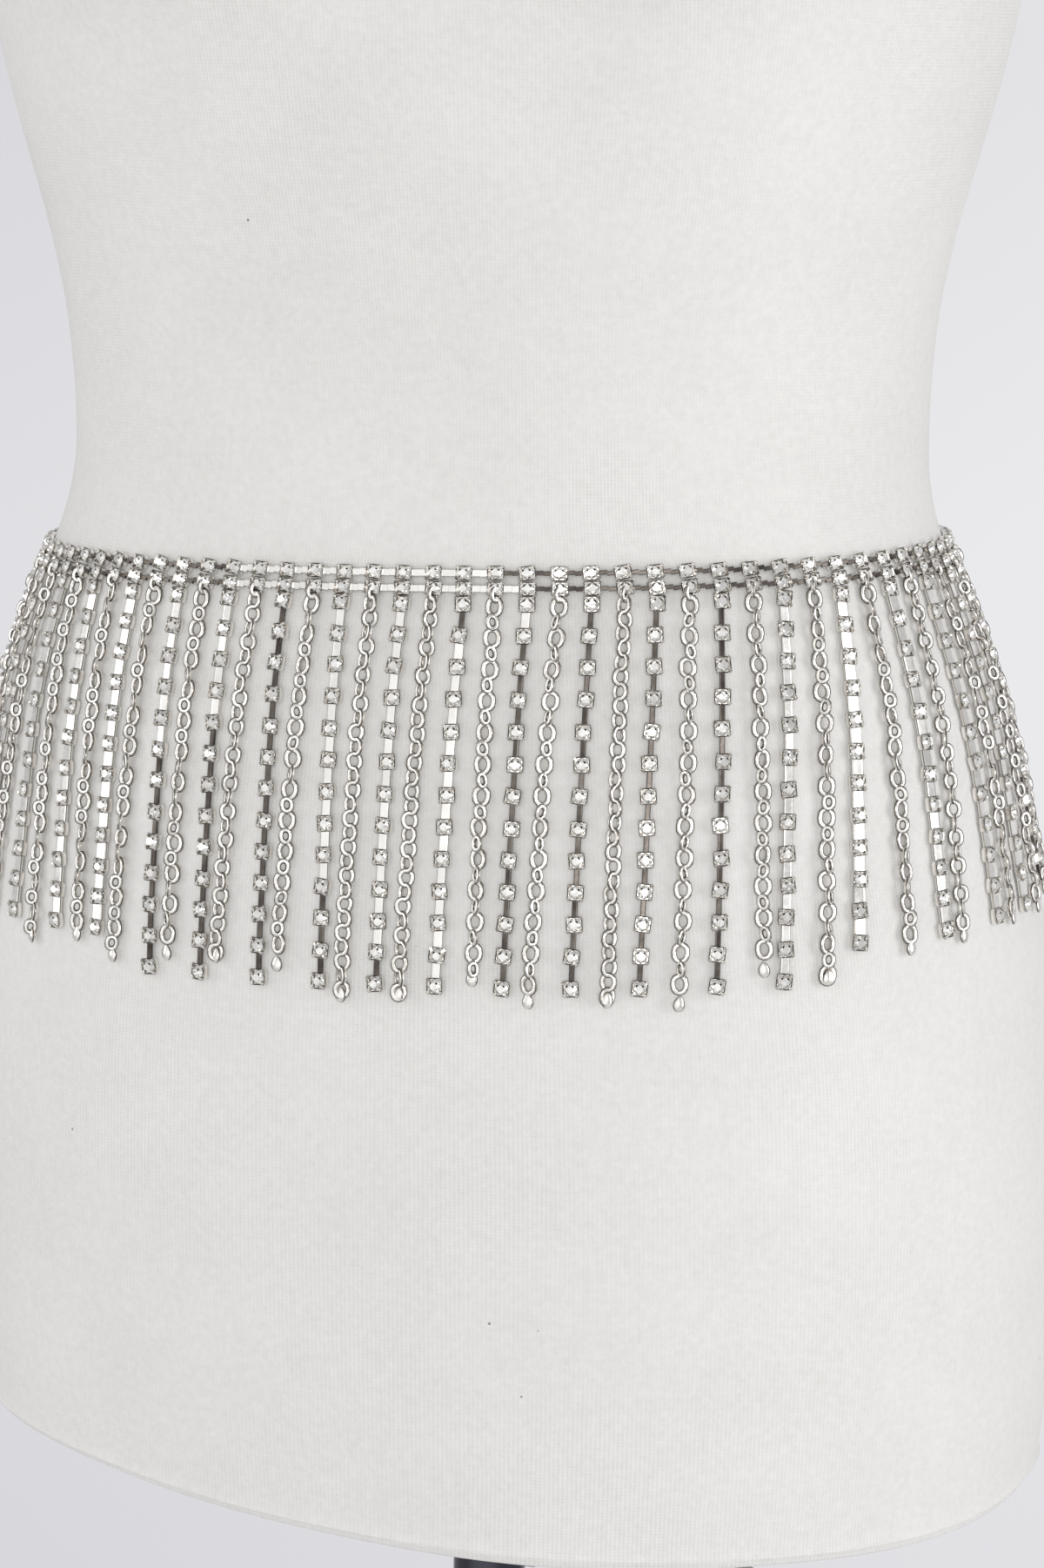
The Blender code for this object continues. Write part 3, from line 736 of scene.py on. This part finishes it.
def makeDrop(width, length, depth):
    built = bmesh.new()
    body = bmesh.ops.create_uvsphere(built, u_segments=10, v_segments=7, radius=0.5)["verts"]
    bmesh.ops.rotate(built, cent=(0, 0, 0), matrix=Matrix.Rotation(-math.pi / 2, 3, "X"), verts=body)
    for vert in body:
        narrow = 1.0 - 0.38 * max(0.0, vert.co.y * 2)
        vert.co = Vector((vert.co.x * width * narrow, vert.co.y * length, vert.co.z * depth * narrow))
    return takeShape(built, paintedShoulderShade, smooth=True)


link = {
    "long": (5.3, 6.3, 1.62), "short": (4.1, 5.0, 1.44), "even": (5.0, 5.7, 1.50),  # width, length, wire
    "gap": 8.5, "evenGap": 3.9,
}
shapes = {
    "cup": makeCup(),
    "flatBar": makeBar(2),
    "edgeBar": makeBar(3),
    "long": makeLink(*link["long"], 14, 6),
    "short": makeLink(*link["short"], 12, 5),
    "even": makeLink(*link["even"], 13, 6),
    "drop": makeDrop(3.5, 4.6, 1.7),
}
print("small shapes made,", {name: len(shape["faces"]) for name, shape in shapes.items()})


def joinCopies(name, copies):
    points, faces, finish, smooth, tone, start = [], [], [], [], [], 0
    for kind, place in copies:
        shape = shapes[kind]
        turn = np.array(place)
        points.append(shape["points"] @ turn[:3, :3].T + turn[:3, 3])
        faces += [tuple(corner + start for corner in face) for face in shape["faces"]]
        finish += shape["finish"]
        smooth += shape["smooth"]
        tone += shape["tone"]
        start += len(shape["points"])
    mesh = bpy.data.meshes.new(name)
    mesh.from_pydata(np.concatenate(points), [], faces)
    mesh.polygons.foreach_set("material_index", finish)
    mesh.polygons.foreach_set("use_smooth", smooth)
    mesh.attributes.new("tone", "FLOAT", "CORNER").data.foreach_set("value", tone)
    return mesh


fringe = {
    "firstCup": 4.3, "cupGap": 8.63, "cups": 13, "linkLength": 112.8, "looseDrift": 1.6, "flankTrim": 8.6,
    "barThick": 0.8, "wideBar": 2.5, "thinBar": 1.45, "plateBar": 3.5,
    # index: (drift, trim) in millimetres, of the strands that the photograph shows
    "shown": {
        27: (3.0, 8.6), 28: (3.5, 5.5), 29: (4.0, 8.6), 30: (4.0, 8.7), 31: (1.8, 8.6), 32: (-0.9, 4.5),
        33: (2.6, 0.0), 34: (-0.6, 7.0), 35: (0.8, 0.0), 36: (-3.1, 7.6), 37: (0.8, 0.0), 38: (-2.6, 6.6),
        39: (1.0, 0.0), 40: (-1.8, -0.7), 41: (-0.9, 0.0), 42: (-3.4, 0.0), 43: (-2.3, 0.0), 44: (-1.3, 5.2),
        45: (-2.3, 0.0), 46: (-4.5, -0.8), 47: (-2.6, 0.0), 48: (-2.3, -0.3), 49: (-3.5, 0.0), 50: (-2.5, -1.7),
        51: (-2.3, 0.0), 52: (0.3, 6.6), 53: (-4.1, 0.0), 54: (-2.4, 3.0), 55: (-3.3, 8.6), 56: (1.1, 8.4),
        57: (3.0, 8.6), 58: (-2.0, 8.8), 59: (3.0, 8.6), 60: (-0.4, 9.5), 61: (-1.0, 8.6)},
    # cup strands whose bars lie edge on, drawn narrow in the painted dark reflection finish, from this cup
    # down, and those with wide flat plates
    "edgeOn": {5: 0, 11: 5, 17: 0, 23: 7, 33: 5, 35: 4, 37: 0, 39: 9, 41: 11, 45: 1, 47: 0, 49: 0, 51: 0,
               63: 4, 69: 0, 75: 6},
    "plates": (13, 21, 25, 27, 29, 31, 55, 57, 59, 61, 67, 73),
    "even": (4, 10, 18, 24, 36, 40, 42, 48, 58, 64, 70, 76),  # link strands whose links are all of one size
    "darkFirst": (43,),  # strands whose first bar alone lies edge on, in the painted dark reflection finish
    "brightRail": ((35, 44), (35, 43)),  # lower and upper rail, from and to the bar after this strand; shown rail bars outside it lie edge on in the painted dark reflection finish
    "railBar": (2.0, 1.2),  # width flat and edge on
}
chainFinishes = ["plate", "stone", "bar", "edge"]  # numbered from 0 in the small shapes
fringeNodes = ("fringe_left_back", "fringe_left_front", "fringe_right_front", "fringe_right_back")


def strandFacts(index):
    if index in fringe["shown"]:
        return fringe["shown"][index]
    wobble = math.sin(index * 2.399) * 0.6 + math.sin(index * 0.911 + 1.0) * 0.4
    return fringe["looseDrift"] * wobble, fringe["flankTrim"]


def cupStrand(index, path, step, trim, chance):
    copies = []
    edgeFrom = fringe["edgeOn"].get(index, fringe["cups"])
    wide = fringe["plateBar"] if index in fringe["plates"] else fringe["wideBar"]
    cups = fringe["cups"] - round(trim / fringe["cupGap"])
    for number in range(cups):
        reach = fringe["firstCup"] + fringe["cupGap"] * number
        spot = spotOn(path, step, reach * mm)
        copies.append(("cup", laidAt(spot, belt["clearance"], **shaken(chance, **cup["loose"]))))
        if number < cups - 1:
            spot = spotOn(path, step, (reach + fringe["cupGap"] / 2) * mm)
            dark = number >= edgeFrom or (number == 0 and index in fringe["darkFirst"])
            kind, width, thick = ("edgeBar", fringe["thinBar"], 1.0) if dark else (
                "flatBar", wide, fringe["barThick"])
            size = (width, fringe["cupGap"] - cup["width"] + 0.8, thick)
            copies.append((kind, laidAt(spot, belt["clearance"] + 0.65, size=size,
                                        **shaken(chance, twist=7))))
    return copies


def linkStrand(index, path, step, trim, chance):
    near, far = belt["clearance"] + 1.0, belt["clearance"] + 1.8  # how far the long and short links stand out
    middle = belt["clearance"] + 1.3
    end = fringe["linkLength"] - trim - 2.2
    copies = [("short", laidAt(spotOn(path, step, 1.6 * mm), 1.9, twist=chance.uniform(40, 70)))]
    reach, number = 2.4, 0
    while reach + 2.4 < end:
        if index in fringe["even"]:
            spot = spotOn(path, step, (reach + 2.2) * mm)
            twist = (30 if number % 2 else -26) + chance.uniform(-18, 18)
            copies.append(("even", laidAt(spot, middle, twist=twist, **shaken(chance, across=0.25, lie=10))))
            reach += link["evenGap"]
        else:
            spot = spotOn(path, step, (reach + 2.6) * mm)
            copies.append(("long", laidAt(spot, near, **shaken(chance, across=0.25, twist=20, lie=9))))
            if reach + link["gap"] < end:
                spot = spotOn(path, step, (reach + 2.6 + link["gap"] / 2) * mm)
                across = chance.uniform(-0.3, 0.3)
                twist = chance.choice((-1, 1)) * chance.uniform(28, 58)
                copies.append(("short", laidAt(spot, far, across, twist=twist, **shaken(chance, lie=12))))
            reach += link["gap"]
        number += 1
    copies.append(("drop", laidAt(spotOn(path, step, end * mm), middle, **shaken(chance, twist=12, lie=8))))
    return copies


def railRow(first, last, offset, chance):
    firstBright, lastBright = fringe["brightRail"][0 if offset < 0 else 1]
    flatBar, thinBar = fringe["railBar"]
    copies = []
    for index in range(first, last + 1):
        spot = railSpot(strandStart(index), offset * mm)
        copies.append(("cup", laidAt(spot, belt["clearance"], size=belt["railCup"],
                                     **shaken(chance, **belt["railLoose"]))))
        unseen = index not in fringe["shown"] and chance.random() < 0.5
        for half in (-1, 1):
            dark = not (unseen or firstBright <= index + (half - 1) / 2 <= lastBright)
            spot = railSpot(strandStart(index) + half * belt["pitch"] * mm / 4, offset * mm)
            size = (thinBar if dark else flatBar, belt["pitch"] / 2 - 0.02, 0.8)
            copies.append(("edgeBar" if dark else "flatBar",
                           laidAt(spot, belt["clearance"] + 0.7, lie=90, size=size)))
    return copies


def addFringe():
    quarter = belt["strands"] // 4
    for number, node in enumerate(fringeNodes):
        chance = random.Random(40 + number)
        first, last = number * quarter, (number + 1) * quarter - 1
        copies = railRow(first, last, -belt["spacing"] / 2, chance)
        for index in range(first, last + 1):
            drift, trim = strandFacts(index)
            lean = math.asin(drift / (fringe["linkLength"] - trim))
            path, step = strandPath(lean, fringe["linkLength"] * mm, strandStart(index))
            make = cupStrand if index % 2 == 1 else linkStrand
            copies += make(index, path, step, trim, chance)
        name = "fringe" + node[7:].title().replace("_", "")
        addPiece(name, joinCopies(name, copies), chainFinishes, [node])
    upper = railRow(0, belt["strands"] - 1, belt["spacing"] / 2, random.Random(9))
    addPiece("railUpper", joinCopies("railUpper", upper), chainFinishes, ["rail_upper"])


addFringe()
print("fringe hung, belt", round(beltTotal / mm, 1), "mm round")


closure = {
    "gap": 0.3, "barWidth": 2.2, "barHeight": 8.2, "barDepth": 2.4, "claspLength": 13.5,
    "links": 4, "tail": 46.0, "tailStep": 3.05, "tailBack": 2.1,
    "clasp": (("claspRing", 4.9, {}), ("lever", 6.4, {"along": 2.1}), ("barrel", 10.1, {}),
              ("endRing", 12.2, {"twist": 70})),  # shape, place along the clasp and how it is laid
}
shapes["ring"] = makeLink(3.6, 3.9, 0.75, 14, 6)
shapes["endRing"] = makeLink(2.9, 2.9, 0.6, 12, 6)
shapes["claspRing"] = makeLink(5.6, 9.6, 1.25, 20, 8)
shapes["lever"] = makeDrop(2.0, 6.0, 1.5)
shapes["barrel"] = makeDrop(2.3, 3.6, 2.2)


def makeEndBar():
    built = bmesh.new()
    body = bmesh.ops.create_cube(built, size=1.0)["verts"]
    bmesh.ops.scale(built, vec=(closure["barWidth"], closure["barHeight"], closure["barDepth"]), verts=body)
    bmesh.ops.bevel(built, geom=list(built.edges), offset=0.45, offset_type="OFFSET", segments=3, profile=0.5,
                    affect="EDGES", material=-1, clamp_overlap=True)
    return takeShape(built, paintedEdgeShade(0.0, 0.8, 0.0), smooth=True)


shapes["endBar"] = makeEndBar()


def addClosure():
    c = closure
    railEnd = strandStart(belt["strands"] - 1) + (belt["pitch"] / 2) * mm - beltTotal
    railStart = strandStart(0) - belt["pitch"] / 2 * mm
    leftBar = railEnd + (c["gap"] + c["barWidth"] / 2) * mm
    rightBar = railStart - (c["gap"] + c["barWidth"] / 2) * mm
    claspStart = rightBar - (c["barWidth"] / 2 + c["gap"] + c["claspLength"]) * mm
    linksStart = leftBar + (c["barWidth"] / 2 + c["gap"]) * mm
    linksEnd = claspStart - c["gap"] * mm
    lift = belt["clearance"] + 1.2

    for name, node, length in (("endBarLeft", "end_bar_left", leftBar),
                               ("endBarRight", "end_bar_right", rightBar)):
        copies = [("endBar", laidAt(railSpot(length, 0.0), lift))]
        addPiece(name, joinCopies(name, copies), ["clasp"], [node])

    def along(kind, length, **facts):
        return kind, laidAt(railSpot(length, 0.0), lift, lie=90, **facts)

    copies = [along(kind, claspStart + reach * mm, **facts) for kind, reach, facts in c["clasp"]]
    addPiece("lobsterClasp", joinCopies("lobsterClasp", copies), ["clasp"], ["clasp"])

    span = linksEnd - linksStart
    copies = [along("ring", linksStart + span * (number + 0.5) / c["links"], twist=62 if number % 2 else 12)
              for number in range(c["links"])]
    row = joinCopies("extenderLinks", copies)
    addPiece("extenderLinks", row, ["clasp"], ["extender_links"])

    start = linksEnd - c["tailBack"] * mm
    path, step = strandPath(0.0, c["tail"] * mm, start)
    copies, reach, number = [], 2.0, 0
    while reach < c["tail"] - 4.5:
        spot = spotOn(path, step, reach * mm)
        copies.append(("ring", laidAt(spot, lift + 0.2, twist=60 if number % 2 else 10, lie=3)))
        reach += c["tailStep"]
        number += 1
    copies.append(("drop", laidAt(spotOn(path, step, (c["tail"] - 2.6) * mm), lift)))
    addPiece("extenderTail", joinCopies("extenderTail", copies), ["clasp"], ["extender_tail"])


addClosure()
print("closure made")


room = {
    "floor": (0.72, 0.72, 0.725), "floorRadius": 1.8,
    "around": (0.50, 0.50, 0.505),
    "front": (1.00, 0.997, 0.99),  # the wide soft light in front of the form
    "backdrop": (0.823, 0.823, 0.842), "backdropDim": (0.64, 0.633, 0.678),  # dim at the left and low down
    "lamps": (  # name, place, width, height, watts, colour
        ("leftLamp", (-1.75, -0.80, 1.45), 0.9, 1.7, 7.5, (1.0, 0.995, 0.985)),
        ("rightLamp", (1.90, -0.25, 1.20), 0.9, 1.7, 12.5, (1.0, 1.0, 1.0)),
        ("keyLamp", (0.95, -2.25, 1.30), 0.7, 0.7, 9.5, (1.0, 0.995, 0.99)),
    ),
}


def addRoom():
    made = Finish("studioFloor", Roughness=0.7)
    grain = made.noise(made.place(), 14.0, 4.0)
    low, high = room["floor"], tuple(value * 1.03 for value in room["floor"])
    made.feed(Base_Color=made.blend(grain, low, high))
    built = bmesh.new()
    bmesh.ops.create_circle(built, cap_ends=True, segments=128, radius=room["floorRadius"])
    mesh = bpy.data.meshes.new("floor")
    built.to_mesh(mesh)
    built.free()
    mesh.materials.append(made.material)
    floor = bpy.data.objects.new("floor", mesh)
    floor.location.z = -0.0005
    bpy.context.scene.collection.objects.link(floor)

    for name, place, width, height, watts, color in room["lamps"]:
        light = bpy.data.lights.new(name, "AREA")
        light.shape = "RECTANGLE"
        light.size, light.size_y = width, height
        light.energy = watts
        light.color = color
        placed = bpy.data.objects.new(name, light)
        bpy.context.scene.collection.objects.link(placed)
        placed.location = place
        placed.rotation_euler = (Vector((0, 0, 1.0)) - Vector(place)).to_track_quat("-Z", "Y").to_euler()

    world = bpy.data.worlds.new("studio")
    sky = Nodes(world, "Background")
    way = sky.node("TexCoord", output=0)
    across, ahead, upward = (sky.node("SeparateXYZ", sockets={0: way}, output=number) for number in range(3))
    around = sky.blend(sky.spread(ahead, -0.90, -0.55, 1.0, 0.0), room["around"], room["front"])
    dim = sky.spread(across, -0.45, -0.22, 0.45, 0.0) + sky.spread(upward, -0.34, -0.15, 0.4, 0.0)
    dim = dim + sky.spread(upward, -0.11, 0.0, 0.0, 0.3)
    backdrop = sky.blend(dim, room["backdrop"], room["backdropDim"])
    sky.feed(Color=sky.blend(sky.spread(ahead, 0.70, 0.84), around, backdrop), Strength=1.0)
    bpy.context.scene.world = world
    bpy.context.scene.view_settings.view_transform = "Standard"


addRoom()
print("room lit")
